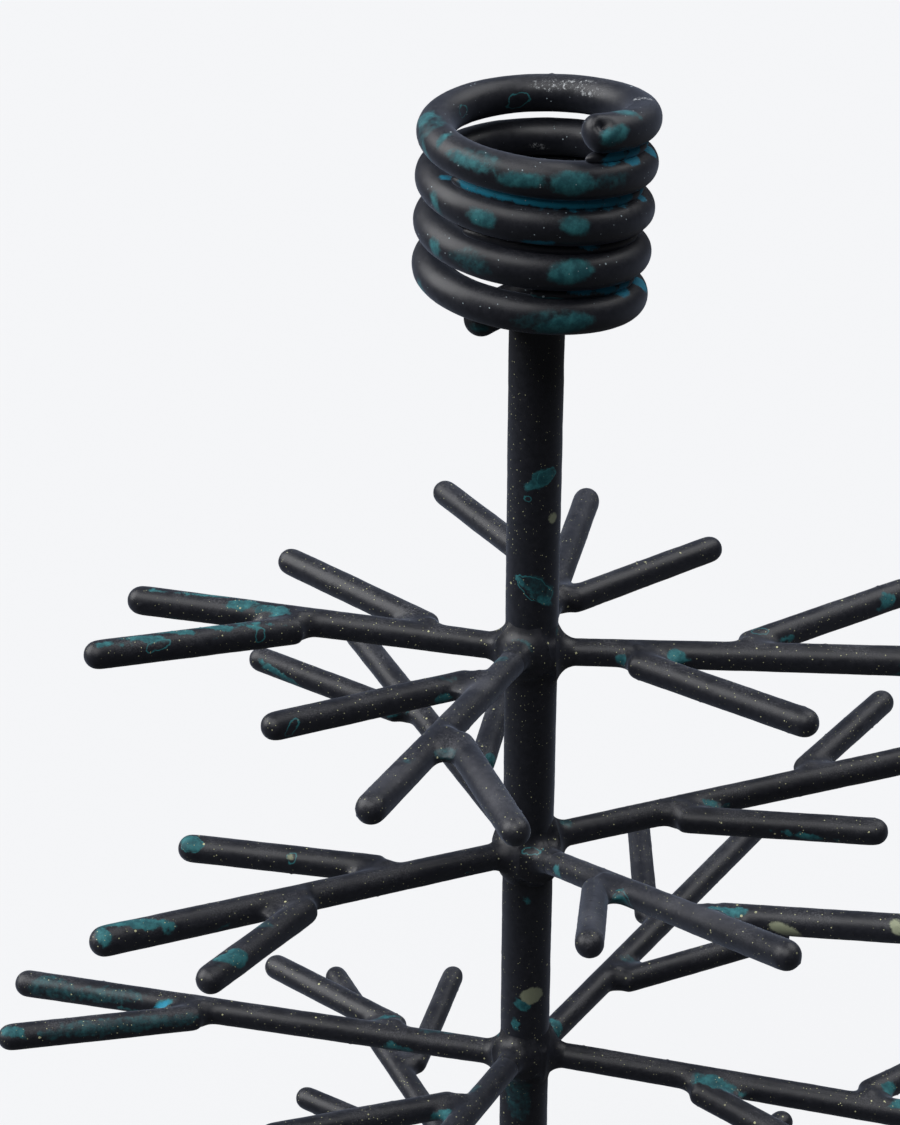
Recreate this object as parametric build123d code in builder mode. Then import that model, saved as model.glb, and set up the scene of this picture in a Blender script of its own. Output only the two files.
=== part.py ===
from build123d import *
import os
from math import asin, cos, degrees, pi, radians, sin, tan
from typing import NamedTuple

# A small welded steel tree that grips one taper candle in a wound rod at its top.
# The origin is the middle of the foot's underside, +Z is up and the front faces -Y.
# Headings are degrees seen from above, counterclockwise from +X.

# Foot and trunk
foot_diameter = 120.0
foot_thickness = 6.0
foot_rim_radius = 1.5
trunk_diameter = 8.0

# Candle and the coil that grips it: one rod wound left-handed, leaning a little to the right
candle_diameter = 22.0
candle_clearance = 1.0
coil_wire = 5.4
coil_gap = 1.05
coil_turns = 4
coil_base_height = 303.9
coil_shift = -1.2
coil_lean = 2.4
coil_top_turn = 58.0

# Lower end of the coil: bent inwards, it crosses over the trunk and is the candle's floor
floor_heading = 230.0
floor_dip = 5.0
floor_offset = 1.8
floor_overhang = 4.9
floor_seat = 1.0
floor_bend_share = 1.2

# Tiers of arms: the first one's drop below the coil, the span from first to last, reach and twig length
crown_drop = 59.2
tier_span = 168.7
arm_reach = 100.0
twig_length = 37.0

# Rods of the arms, thinnest at the trunk, and the square root ends of the twigs: how far their middles
# stand off the stem's axis, as a share of its radius, and their bevel
stem_root_diameter = 4.0
stem_tip_diameter = 4.4
twig_diameter = 4.2
twig_seat_share = 1.3
twig_root_bevel = 0.8

# Welds: legs along the two pieces that they join, and how far their face is hollow
foot_weld_leg = 3.5
root_weld_leg = 2.6
coil_weld_leg = 1.2
twig_weld_leg = 0.8
weld_hollow_share = 0.34
weld_core_share = 0.5
weld_reach_share = 2.2

# Points of one coil turn that the gap to itself is measured on
gap_points_per_turn = 48


class Tier(NamedTuple):
    """One ring of arms: its place in the span of the tiers, and its shares of reach and twig length."""

    name: str
    level_share: float
    reach_share: float
    twig_share: float

    @property
    def height(self):
        """Height of the ring on the trunk."""
        return coil_base_height - crown_drop - tier_span * self.level_share


class Twig(NamedTuple):
    """One twig: where it leaves the stem, the angle to it, positive to the left, and its share of length."""

    root_share: float
    angle: float
    length_share: float


class Arm(NamedTuple):
    """One stem with its two twigs, as bent and welded by hand."""

    side: str
    heading: float
    rise: float
    roll: float
    lift_share: float
    reach_share: float
    inner: Twig
    outer: Twig


TIERS = (
    Tier("tier_1", 0.0, 0.625, 0.986),
    Tier("tier_2", 0.2164, 0.737, 0.946),
    Tier("tier_3", 0.46, 0.91, 1.014),
    Tier("tier_4", 0.7214, 0.97, 1.0),
    Tier("tier_5", 1.0, 1.02, 1.054),
)

ARMS = {
    "tier_1": (
        Arm("left", 170.3, 2.9, 2.3, -0.03, 1.022, Twig(0.178, -33, 1.01), Twig(0.48, 30.8, 1.03)),
        Arm("front", 247.5, 5.7, 2.9, 0.28, 0.998, Twig(0.216, -39.8, 1.00), Twig(0.532, 37.6, 0.90)),
        Arm("right", 353.8, 1.7, -0.9, -0.05, 1.00, Twig(0.179, -33, 0.98), Twig(0.459, 38.5, 1.005)),
        Arm("rear", 78.9, -2.2, 1.5, -0.15, 0.978, Twig(0.252, -38, 1.02), Twig(0.439, 40.2, 1.04)),
    ),
    "tier_2": (
        Arm("left", 208.7, 5.7, 3.3, -0.05, 1.011, Twig(0.2725, -36, 1.023), Twig(0.4765, 30.4, 0.889)),
        Arm("front", 299.5, 18.8, -7.6, -0.20, 0.99, Twig(0.29, -32.7, 0.99), Twig(0.626, 40.3, 0.94)),
        Arm("right", 17.8, 2.1, -2.7, 0.35, 1.00, Twig(0.2646, -29.3, 1.063), Twig(0.6147, 36, 0.94)),
        Arm("rear", 113.7, 1.3, 4.4, 0.00, 1.03, Twig(0.269, -33.7, 1.02), Twig(0.543, 35.5, 0.994)),
    ),
    "tier_3": (
        Arm("left", 166.7, -0.2, 11.5, -0.20, 1.00, Twig(0.193, -32, 1.00), Twig(0.564, 31.2, 1.013)),
        Arm("front", 248.0, 12.6, -3.2, 0.32, 1.00, Twig(0.23, -37.4, 1.00), Twig(0.557, 36, 1.013)),
        Arm("right", 350.1, -4.4, 0.5, 0.22, 1.00, Twig(0.257, -27.7, 1.00), Twig(0.592, 45.3, 1.013)),
        Arm("rear", 56.9, -0.8, -0.8, -0.35, 0.97, Twig(0.264, -32, 1.00), Twig(0.486, 32, 1.013)),
    ),
    "tier_4": (
        Arm("left", 206.0, 3, 2, 0.10, 1.00, Twig(0.26, 34, 1.02), Twig(0.55, -35, 1.00)),
        Arm("front", 300.0, 4, -3, -0.10, 0.99, Twig(0.27, 36, 0.98), Twig(0.57, -33, 1.01)),
        Arm("right", 13.0, 1, 1, 0.20, 1.01, Twig(0.25, 33, 1.00), Twig(0.54, -36, 0.98)),
        Arm("rear", 112.5, -4, 0, 0.17, 1.00, Twig(0.27, 32, 1.00), Twig(0.56, -36, 1.02)),
    ),
    "tier_5": (
        Arm("left", 163.5, 1.5, 3, -0.10, 1.00, Twig(0.22, -33, 1.00), Twig(0.55, 34, 1.02)),
        Arm("front", 247.0, 3.5, -2, 0.15, 1.01, Twig(0.24, -36, 1.01), Twig(0.57, 35, 0.98)),
        Arm("right", 349.0, -1.5, 1, 0.06, 0.99, Twig(0.23, -31, 0.99), Twig(0.56, 38, 1.00)),
        Arm("rear", 58.5, 0.5, -2, -0.14, 1.00, Twig(0.25, -34, 1.00), Twig(0.54, 33, 1.01)),
    ),
}

# Sizes that follow from these
trunk_radius = trunk_diameter / 2
wire_radius = coil_wire / 2
twig_radius = twig_diameter / 2
coil_bore = candle_diameter + candle_clearance
coil_radius = (coil_bore + coil_wire) / 2
coil_pitch = coil_wire + coil_gap
bend_radius = coil_wire * floor_bend_share


def heading_vector(heading, slope=0.0):
    """Unit vector along a heading, climbing at a slope in degrees."""
    level = cos(radians(slope))
    return Vector(cos(radians(heading)) * level, sin(radians(heading)) * level, sin(radians(slope)))


def biarc(start, start_way, end, end_way):
    """Two arcs, tangent to each other, from one point and direction to another."""
    gap = end - start
    ways = start_way + end_way
    a = 2 * (1 - start_way.dot(end_way))
    b = 2 * gap.dot(ways)
    c = -gap.dot(gap)
    reach = (-b + (b * b - 4 * a * c) ** 0.5) / (2 * a)
    middle = (start + start_way * reach + end - end_way * reach) / 2
    first = TangentArc(start, middle, tangent=start_way)
    second = TangentArc(middle, end, tangent=first % 1)
    return first, second


def dome_face(plane, radius):
    """Quarter disc on a plane through an end of a rod, to be turned about the plane's x axis."""
    with BuildSketch(plane, mode=Mode.PRIVATE) as face:
        with BuildLine():
            Line((0, 0), (0, radius))
            CenterArc((0, 0), radius, 0, 90)
            Line((radius, 0), (0, 0))
        make_face()
    return face.sketch


def weld_profile(along, across, leg):
    """Hollow face of a fillet weld, from a point on the first piece to one on the second."""
    hollow = leg * weld_hollow_share
    ThreePointArc((along + leg, across), (along + hollow, across + hollow), (along, across + leg))


# Frame of the coil, on its leaning axis, level with the right side of its lowest turn
coil_frame = Plane(
    origin=(coil_shift, 0, coil_base_height),
    x_dir=(cos(radians(coil_lean)), 0, -sin(radians(coil_lean))),
    z_dir=(sin(radians(coil_lean)), 0, cos(radians(coil_lean))),
)


def helix_point(angle):
    """Point and upward direction of the helix after a number of degrees of winding."""
    turn = radians(angle)
    point = Vector(coil_radius * cos(turn), -coil_radius * sin(turn), coil_pitch * angle / 360)
    way = Vector(-sin(turn) * coil_radius, -cos(turn) * coil_radius, coil_pitch / (2 * pi))
    return point, way.normalized()


# Plan of the lower end: the bend starts where a circle of its radius touches helix and floor rod
bend_turn = degrees(asin((bend_radius - floor_offset) / (coil_radius - bend_radius)))
bend_heading = floor_heading - 180 - bend_turn
bend_centre = heading_vector(bend_heading) * (coil_radius - bend_radius)
floor_side = heading_vector(floor_heading + 90)
bend_sweep = floor_heading - bend_heading - 90
bend_drop = bend_radius * radians(bend_sweep) * tan(radians(floor_dip))
bend_top, climb = helix_point(-bend_heading)
floor_way = heading_vector(floor_heading, -floor_dip)
floor_start = bend_centre - floor_side * bend_radius + Vector(0, 0, bend_top.Z - bend_drop)
trunk_far_side = heading_vector(floor_heading).dot(Vector(-coil_shift, 0, 0)) + trunk_radius
floor_run = trunk_far_side + floor_overhang - heading_vector(floor_heading).dot(bend_centre)
floor_length = floor_run / cos(radians(floor_dip))
floor_end = floor_start + floor_way * floor_length

# Quarter turns from the bend up to the top end
winding = [-bend_heading] + [90 * quarter for quarter in range(coil_turns * 4 + 1)]
winding.append(winding[-1] + coil_top_turn)
stations = [helix_point(angle) for angle in winding]

with BuildLine() as coil_path:
    Line(floor_end, floor_start)
    biarc(floor_start, floor_way * -1, bend_top, climb)
    for (low, low_way), (high, high_way) in zip(stations, stations[1:]):
        biarc(low, low_way, high, high_way)

coil_ends = (
    Plane(origin=floor_end, x_dir=floor_way, z_dir=floor_side),
    Plane(origin=stations[-1][0], x_dir=stations[-1][1], z_dir=(0, 0, 1)),
)

with BuildPart() as straight_coil:
    with BuildSketch(Plane(origin=floor_end, z_dir=floor_way * -1)):
        Circle(wire_radius)
    sweep(path=coil_path.line)
    for end in coil_ends:
        revolve(dome_face(end, wire_radius), axis=Axis(end.origin, end.x_dir))

with BuildPart() as candle_coil:
    with Locations(coil_frame):
        add(straight_coil.part)
candle_coil.part.label = "candle_coil"

# Least gap of the wound rod to itself, between points at least half a turn apart along it
coil_line = coil_path.wire()
path_length = coil_line.length
turn_length = (coil_radius**2 * 4 * pi**2 + coil_pitch**2) ** 0.5
point_count = round(path_length / turn_length * gap_points_per_turn)
half_turn = gap_points_per_turn // 2
path_points = [coil_line @ (count / point_count) for count in range(point_count + 1)]
least_gap = min(
    (near - far).length - coil_wire
    for count, near in enumerate(path_points)
    for far in path_points[count + half_turn :]
)
print("coil wire length", round(path_length, 1), "least gap to itself", round(least_gap, 2))
print("coil volume", round(candle_coil.part.volume), "section times length",
      round(pi * wire_radius**2 * path_length))

# The trunk's top takes the floor rod in a shallow saddle
floor_middle = coil_frame.from_local_coords((floor_start + floor_end) / 2)
trunk_top = floor_middle.Z - wire_radius + floor_seat

with BuildPart() as trunk:
    with BuildSketch(Plane.XY.offset(foot_thickness)):
        Circle(trunk_radius)
    extrude(amount=trunk_top - foot_thickness)
    add(candle_coil.part, mode=Mode.SUBTRACT)
trunk.part.label = "trunk"

# Weld along both sides of the floor rod on the trunk's top
floor_axis = coil_frame.from_local_coords(floor_end) - coil_frame.from_local_coords(floor_start)
with BuildPart() as coil_weld:
    with BuildSketch(Plane.XY.offset(trunk_top - coil_weld_leg)):
        Circle(trunk_radius + coil_weld_leg)
    extrude(amount=coil_wire)
    with BuildSketch(Plane(origin=floor_middle, z_dir=floor_axis)):
        Circle(wire_radius + coil_weld_leg)
    extrude(amount=floor_length, both=True, mode=Mode.INTERSECT)
    with BuildSketch(Plane.XY.offset(floor_middle.Z)):
        Circle(trunk_radius + coil_wire)
    extrude(amount=coil_wire * 2, mode=Mode.SUBTRACT)
    add(trunk.part, mode=Mode.SUBTRACT)
    add(candle_coil.part, mode=Mode.SUBTRACT)
coil_weld.part.label = "coil_weld"

with BuildPart() as foot_plate:
    with BuildSketch():
        Circle(foot_diameter / 2)
    extrude(amount=foot_thickness)
    fillet(foot_plate.edges().sort_by(Axis.Z)[-1], foot_rim_radius)
foot_plate.part.label = "foot_plate"

with BuildPart() as foot_weld:
    with BuildSketch(Plane.XZ):
        with BuildLine():
            weld_profile(trunk_radius, foot_thickness, foot_weld_leg)
            Line((trunk_radius, foot_thickness + foot_weld_leg), (trunk_radius, foot_thickness))
            Line((trunk_radius, foot_thickness), (trunk_radius + foot_weld_leg, foot_thickness))
        make_face()
    revolve(axis=Axis.Z)
foot_weld.part.label = "foot_weld"


def arm_plane(tier, arm):
    """Plane of an arm: x out along its stem, y to its left, origin on the trunk's axis."""
    out = heading_vector(arm.heading, arm.rise)
    left = heading_vector(arm.heading + 90)
    up = out.cross(left) * cos(radians(arm.roll)) - left * sin(radians(arm.roll))
    lift = stem_root_diameter * arm.lift_share
    return Plane(origin=(0, 0, tier.height + lift), x_dir=out, z_dir=up)


def stem_reach(tier, arm):
    """Length of an arm's stem, from the trunk's axis to its tip."""
    return arm_reach * tier.reach_share * arm.reach_share


def twig_plane(tier, arm, twig):
    """Plane of a twig: x out along it, origin where its axis crosses the stem's."""
    stem = arm_plane(tier, arm)
    root = stem.from_local_coords((stem_reach(tier, arm) * twig.root_share, 0, 0))
    out = stem.x_dir * cos(radians(twig.angle)) + stem.y_dir * sin(radians(twig.angle))
    return Plane(origin=root, x_dir=out, z_dir=stem.z_dir)


def twig_root_start(twig):
    """How far out along its axis a twig's square root stands, to sit on the side of the stem."""
    return stem_tip_diameter / 2 * twig_seat_share / sin(radians(abs(twig.angle)))


def make_stem(tier, arm):
    """Tapered rod with a domed tip, its root shaped to the trunk's round."""
    plane = arm_plane(tier, arm)
    root, tip = stem_root_diameter / 2, stem_tip_diameter / 2
    shoulder = stem_reach(tier, arm) - tip
    with BuildPart() as stem:
        with BuildSketch(plane):
            with BuildLine():
                Polyline((shoulder + tip, 0), (0, 0), (0, root), (shoulder, tip))
                CenterArc((shoulder, 0), tip, 0, 90)
            make_face()
        revolve(axis=Axis(plane.origin, plane.x_dir))
        add(trunk.part, mode=Mode.SUBTRACT)
    return stem.part


def make_twig(tier, arm, twig, stem):
    """Rod with a domed tip and a square root, shaped to the stem so that its heel stands out."""
    plane = twig_plane(tier, arm, twig)
    start = twig_root_start(twig)
    length = twig_length * tier.twig_share * twig.length_share
    with BuildPart() as rod:
        with BuildSketch(plane):
            with BuildLine():
                Polyline(
                    (length + twig_radius, 0),
                    (start, 0),
                    (start, twig_radius - twig_root_bevel),
                    (start + twig_root_bevel, twig_radius),
                    (length, twig_radius),
                )
                CenterArc((length, 0), twig_radius, 0, 90)
            make_face()
        revolve(axis=Axis(plane.origin, plane.x_dir))
        add(stem, mode=Mode.SUBTRACT)
    return rod.part


def make_twig_weld(tier, arm, twig, stem, rod):
    """Bead round a twig's root, where a sleeve on the stem and a sleeve on the twig cross."""
    stem_line = arm_plane(tier, arm)
    twig_line = twig_plane(tier, arm, twig)
    reach = twig_diameter * weld_reach_share
    heel = twig_root_start(twig) - twig_weld_leg
    with BuildPart() as bead:
        with BuildSketch(Plane(origin=twig_line.origin, z_dir=twig_line.x_dir).offset(heel)):
            Circle(twig_radius + twig_weld_leg)
        extrude(amount=reach)
        with BuildSketch(Plane(origin=twig_line.origin, z_dir=stem_line.x_dir)):
            Circle(stem_tip_diameter / 2 + twig_weld_leg)
        extrude(amount=reach, both=True, mode=Mode.INTERSECT)
        add(stem, mode=Mode.SUBTRACT)
        add(rod, mode=Mode.SUBTRACT)
    return bead.part


def make_root_weld(tier, arms, stems):
    """Flared welds of one tier's stems to the trunk, run together where they meet."""
    root = stem_root_diameter / 2
    core = trunk_radius * weld_core_share
    with BuildPart() as collar:
        for arm in arms:
            plane = arm_plane(tier, arm)
            with BuildSketch(plane):
                with BuildLine():
                    weld_profile(trunk_radius, root, root_weld_leg)
                    Polyline(
                        (trunk_radius, root + root_weld_leg),
                        (core, root),
                        (core, 0),
                        (trunk_radius + root_weld_leg, 0),
                        (trunk_radius + root_weld_leg, root),
                    )
                make_face()
            revolve(axis=Axis(plane.origin, plane.x_dir))
        add(trunk.part, mode=Mode.SUBTRACT)
        for stem in stems:
            add(stem, mode=Mode.SUBTRACT)
    return collar.part


def group(pieces):
    """Separate solids that share one node."""
    with BuildPart() as together:
        for piece in pieces:
            add(piece)
    return together.part


nodes = {
    "foot_plate": foot_plate.part,
    "foot_weld": foot_weld.part,
    "trunk": trunk.part,
    "coil_weld": coil_weld.part,
    "candle_coil": candle_coil.part,
}
for tier in TIERS:
    stems = []
    beads = []
    for arm in ARMS[tier.name]:
        stem = make_stem(tier, arm)
        rods = [make_twig(tier, arm, twig, stem) for twig in (arm.inner, arm.outer)]
        beads += [
            make_twig_weld(tier, arm, twig, stem, rod) for twig, rod in zip((arm.inner, arm.outer), rods)
        ]
        stems.append(stem)
        nodes[f"{tier.name}_{arm.side}_stem"] = stem
        nodes[f"{tier.name}_{arm.side}_twigs"] = group(rods)
    nodes[f"{tier.name}_root_weld"] = make_root_weld(tier, ARMS[tier.name], stems)
    nodes[f"{tier.name}_twig_welds"] = group(beads)

os.makedirs("parts", exist_ok=True)
for name, piece in nodes.items():
    piece.label = name
    export_step(piece, f"parts/{name}.step")
print("nodes", len(nodes))
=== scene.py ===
"""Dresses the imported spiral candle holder: a welded tree of black coated rods with blue-green patina.

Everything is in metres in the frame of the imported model: +Z up, the front faces -Y, and the foot
stands on z = 0. Places on the photograph are pixels of its 900 by 1125 frame, across and down.
"""
import logging
import math
import random
from dataclasses import dataclass, field
from enum import Enum

import bmesh
import bpy
import numpy as np
from mathutils import Matrix, Vector


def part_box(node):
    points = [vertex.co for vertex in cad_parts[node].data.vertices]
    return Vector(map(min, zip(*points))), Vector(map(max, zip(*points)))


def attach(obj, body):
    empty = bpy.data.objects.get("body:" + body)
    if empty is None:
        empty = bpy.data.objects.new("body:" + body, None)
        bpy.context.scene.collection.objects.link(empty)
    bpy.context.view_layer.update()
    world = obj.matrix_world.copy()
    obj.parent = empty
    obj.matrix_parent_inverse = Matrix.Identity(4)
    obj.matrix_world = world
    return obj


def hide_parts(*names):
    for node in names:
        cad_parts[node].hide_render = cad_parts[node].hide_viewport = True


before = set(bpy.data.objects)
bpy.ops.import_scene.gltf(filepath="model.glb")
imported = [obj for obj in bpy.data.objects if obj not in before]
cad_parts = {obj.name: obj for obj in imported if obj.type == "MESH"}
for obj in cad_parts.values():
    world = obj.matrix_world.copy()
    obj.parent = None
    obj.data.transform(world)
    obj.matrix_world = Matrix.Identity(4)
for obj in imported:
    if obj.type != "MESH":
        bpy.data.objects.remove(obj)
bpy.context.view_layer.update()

BODY = "root"
MM = 0.001
FAR_OUTSIDE = -3.0
TIERS = (1, 2, 3, 4, 5)

log = logging.getLogger("spiral_candle_holder")


@dataclass(frozen=True)
class Photograph:
    """The view the object is seen in, as a pinhole camera looking down at it from the front."""

    width: int = 900
    height: int = 1125
    focal: float = 2481.9
    pitch: float = 27.453
    eye: Vector = Vector((-0.01248, -0.33165, 0.43206))
    sensor: float = 36.0

    @property
    def right(self) -> Vector:
        """Direction across the picture."""
        return Vector((1.0, 0.0, 0.0))

    @property
    def up(self) -> Vector:
        """Direction up the picture."""
        tilt = math.radians(self.pitch)
        return Vector((0.0, math.sin(tilt), math.cos(tilt)))

    @property
    def forward(self) -> Vector:
        """Direction into the picture."""
        tilt = math.radians(self.pitch)
        return Vector((0.0, math.cos(tilt), -math.sin(tilt)))

    def ray(self, across: float, down: float) -> Vector:
        """Direction from the eye through a pixel.

        Args:
            across: pixels from the picture's left edge.
            down: pixels from its top edge.

        Returns:
            The unit direction.
        """
        sideways = self.right * (across - self.width / 2)
        upwards = self.up * (self.height / 2 - down)
        return (self.forward * self.focal + sideways + upwards).normalized()

    def sees(self, points: np.ndarray, normals: np.ndarray) -> np.ndarray:
        """Which points inside the frame face the eye, or nearly.

        Args:
            points: rows of points.
            normals: rows of their normals.

        Returns:
            A row of true and false.
        """
        gaze = points - np.array(self.eye)
        depth = gaze @ np.array(self.forward)
        across = gaze @ np.array(self.right) / depth * self.focal + self.width / 2
        down = self.height / 2 - gaze @ np.array(self.up) / depth * self.focal
        framed = (across > 0) & (across < self.width) & (down > 0) & (down < self.height)
        return framed & (np.einsum("ij,ij->i", gaze, normals) < 0.45 * depth)

    def nearest(self, points: np.ndarray, across: float, down: float) -> np.ndarray:
        """The point that is seen at a pixel.

        Args:
            points: rows of points.
            across: pixels from the picture's left edge.
            down: pixels from its top edge.

        Returns:
            The point closest to the eye of those on the pixel's ray.
        """
        gaze = points - np.array(self.eye)
        depth = gaze @ np.array(self.ray(across, down))
        off_ray = np.einsum("ij,ij->i", gaze, gaze) - depth * depth
        return points[np.argmin(depth + 1e6 * np.maximum(off_ray - (0.4 * MM) ** 2, 0.0))]

    def camera(self) -> bpy.types.Object:
        """Makes the scene's camera.

        Returns:
            The camera object.
        """
        data = bpy.data.cameras.new("photograph_camera")
        data.sensor_width = self.sensor
        data.lens = self.focal / self.height * self.sensor
        data.clip_start = 0.01
        data.clip_end = 50.0
        camera = bpy.data.objects.new("photograph_camera", data)
        camera.location = self.eye
        camera.rotation_euler = (math.radians(90 - self.pitch), 0.0, 0.0)
        bpy.context.scene.collection.objects.link(camera)
        bpy.context.scene.camera = camera
        return camera


class MarkKind(Enum):
    """What a mark on the coat looks like; the value names its vertex attribute."""

    FILM = "film"
    HAZE = "haze"
    RIM = "rim"
    GROOVE = "groove"
    SPOT = "spot"
    SCUFF = "scuff"
    # Painted sheen: lightens the tops of the front arms, in the dust colour.
    DUST_AND_SHEEN = "dust_and_sheen"


@dataclass(frozen=True)
class Mark:
    """One patch of patina, or of dust with painted sheen, seen at a pixel of the photograph; sizes are in its
    pixels, lean in degrees.
    """

    kind: MarkKind
    across: float
    down: float
    length: float
    width: float
    lean: float = 0.0


FILM, HAZE, RIM = MarkKind.FILM, MarkKind.HAZE, MarkKind.RIM
GROOVE, SPOT, SCUFF, DUST_AND_SHEEN = MarkKind.GROOVE, MarkKind.SPOT, MarkKind.SCUFF, MarkKind.DUST_AND_SHEEN

COIL_MARKS = (
    Mark(FILM, 520, 180, 50, 15),
    Mark(FILM, 573, 184, 46, 24, -4),
    Mark(HAZE, 612, 181, 40, 14, 4),
    Mark(FILM, 466, 161, 44, 11, -22),
    Mark(HAZE, 478, 160, 60, 20, -20),
    Mark(FILM, 444, 137, 24, 8, 55),
    Mark(FILM, 426, 154, 26, 9, -50),
    Mark(FILM, 424, 118, 22, 26),
    Mark(HAZE, 428, 124, 34, 40),
    Mark(FILM, 576, 226, 32, 19),
    Mark(FILM, 480, 217, 30, 17, -12),
    Mark(FILM, 571, 272, 48, 26, 4),
    Mark(FILM, 435, 204, 26, 12, -60),
    Mark(FILM, 434, 248, 24, 15, -60),
    Mark(HAZE, 470, 262, 46, 22, -15),
    Mark(FILM, 423, 291, 26, 14, -60),
    Mark(FILM, 564, 327, 60, 22, 4),
    Mark(HAZE, 545, 322, 70, 20, 4),
    Mark(FILM, 478, 329, 20, 8),
    Mark(FILM, 616, 136, 34, 18, 10),
    Mark(FILM, 626, 112, 26, 14, 10),
    Mark(SCUFF, 642, 98, 26, 12, -30),
    Mark(RIM, 518, 100, 24, 15, 20),
    Mark(RIM, 463, 113, 16, 11, 35),
    Mark(GROOVE, 451, 178, 22, 11, -30),
    Mark(GROOVE, 468, 185, 26, 12, -20),
    Mark(GROOVE, 487, 191, 26, 12, -16),
    Mark(GROOVE, 505, 195, 26, 12, -13),
    Mark(GROOVE, 522, 199, 26, 12, -10),
    Mark(GROOVE, 540, 202, 26, 12, -6),
    Mark(GROOVE, 558, 204, 26, 12, -2),
    Mark(GROOVE, 576, 205, 26, 12, 2),
    Mark(GROOVE, 594, 204, 26, 12, 6),
    Mark(GROOVE, 611, 202, 26, 13, 10),
    Mark(GROOVE, 626, 199, 26, 14, 14),
    Mark(GROOVE, 641, 194, 26, 15, 24),
    Mark(GROOVE, 616, 157, 36, 13, 10),
    Mark(GROOVE, 634, 154, 36, 20, 16),
    Mark(GROOVE, 648, 149, 26, 22, 40),
    Mark(GROOVE, 580, 291, 30, 8, 4),
    Mark(GROOVE, 606, 288, 34, 12, 8),
    Mark(GROOVE, 624, 287, 34, 17, 14),
    Mark(GROOVE, 638, 281, 34, 24, 30),
    Mark(GROOVE, 538, 243, 30, 9),
    Mark(GROOVE, 588, 246, 22, 7),
    Mark(SCUFF, 562, 85, 70, 12, -6),
    Mark(SCUFF, 590, 92, 30, 9, -12),
    Mark(SCUFF, 538, 147, 18, 6),
)

TRUNK_MARKS = (
    Mark(FILM, 541, 480, 36, 18, 32),
    Mark(FILM, 530, 487, 16, 12, 10),
    Mark(RIM, 546, 478, 26, 14, 40),
    Mark(RIM, 528, 499, 8, 8),
    Mark(SPOT, 553, 518, 10, 12),
    Mark(RIM, 535, 590, 46, 22, -40),
    Mark(HAZE, 539, 589, 42, 22, -40),
    Mark(FILM, 545, 602, 22, 9, -20),
    Mark(FILM, 524, 585, 16, 5, -50),
    Mark(SPOT, 532, 996, 24, 20, 10),
    Mark(FILM, 523, 1005, 13, 15, 40),
    Mark(FILM, 516, 1024, 6, 9),
    Mark(FILM, 527, 900, 4, 5),
    Mark(HAZE, 518, 1096, 26, 60, 0),
    Mark(RIM, 534, 851, 20, 6),
)

UPPER_MARKS = (
    Mark(FILM, 104, 644, 34, 6, 8),
    Mark(FILM, 140, 638, 50, 9, 8),
    Mark(FILM, 180, 632, 50, 6, 8),
    Mark(FILM, 215, 627, 50, 9, 8),
    Mark(FILM, 250, 623, 36, 5, 8),
    Mark(FILM, 244, 605, 28, 12, -8),
    Mark(FILM, 268, 609, 40, 9, -4),
    Mark(FILM, 195, 594, 70, 3, -8),
    Mark(RIM, 160, 645, 22, 10, 20),
    Mark(RIM, 262, 634, 10, 18, -5),
    Mark(FILM, 280, 612, 22, 14, -20),
    Mark(FILM, 250, 626, 26, 6, 4),
    Mark(FILM, 622, 660, 12, 12),
    Mark(FILM, 676, 657, 26, 14, -18),
    Mark(FILM, 887, 602, 22, 16, 18),
    Mark(RIM, 760, 631, 16, 9, 10),
    Mark(FILM, 787, 639, 14, 5),
    Mark(FILM, 557, 630, 6, 9),
    Mark(FILM, 443, 699, 13, 14, 30),
    Mark(RIM, 292, 727, 30, 7, 62),
    Mark(FILM, 395, 716, 26, 4, 12),
    Mark(HAZE, 446, 753, 22, 12),
    Mark(HAZE, 409, 761, 18, 10, 45),
    Mark(FILM, 493, 762, 16, 18),
    Mark(FILM, 282, 676, 64, 10, -22),
    Mark(HAZE, 444, 678, 22, 6, 8),
    Mark(HAZE, 497, 660, 22, 12, 40),
    # Dust marks with painted sheen: they lighten the upper faces of the front arms.
    Mark(DUST_AND_SHEEN, 476, 684, 100, 30, 49),
    Mark(DUST_AND_SHEEN, 398, 776, 130, 30, 49),
    Mark(DUST_AND_SHEEN, 486, 788, 170, 30, -53),
)

MIDDLE_MARKS = (
    Mark(FILM, 190, 843, 21, 18),
    Mark(RIM, 190, 843, 23, 20),
    Mark(FILM, 139, 923, 86, 15, 13),
    Mark(FILM, 104, 937, 16, 22, 10),
    Mark(FILM, 234, 957, 38, 20, 35),
    Mark(HAZE, 262, 925, 22, 16, 30),
    Mark(FILM, 219, 929, 9, 4),
    Mark(SPOT, 290, 857, 6, 6),
    Mark(RIM, 290, 857, 9, 9),
    Mark(FILM, 711, 804, 17, 13, -20),
    Mark(FILM, 802, 836, 48, 8, -2),
    Mark(HAZE, 565, 822, 12, 14),
    Mark(FILM, 557, 873, 13, 17, 30),
    Mark(FILM, 621, 902, 20, 20),
    Mark(RIM, 622, 902, 24, 25),
    Mark(FILM, 731, 913, 38, 14, -18),
    Mark(SPOT, 785, 931, 32, 15, -15),
    Mark(HAZE, 630, 960, 22, 12),
    Mark(SPOT, 896, 926, 12, 16),
    # Dust marks with painted sheen: they lighten the upper faces of the front arms.
    Mark(DUST_AND_SHEEN, 665, 907, 380, 30, -21),
    Mark(DUST_AND_SHEEN, 594, 918, 120, 30, 83),
)

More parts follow.
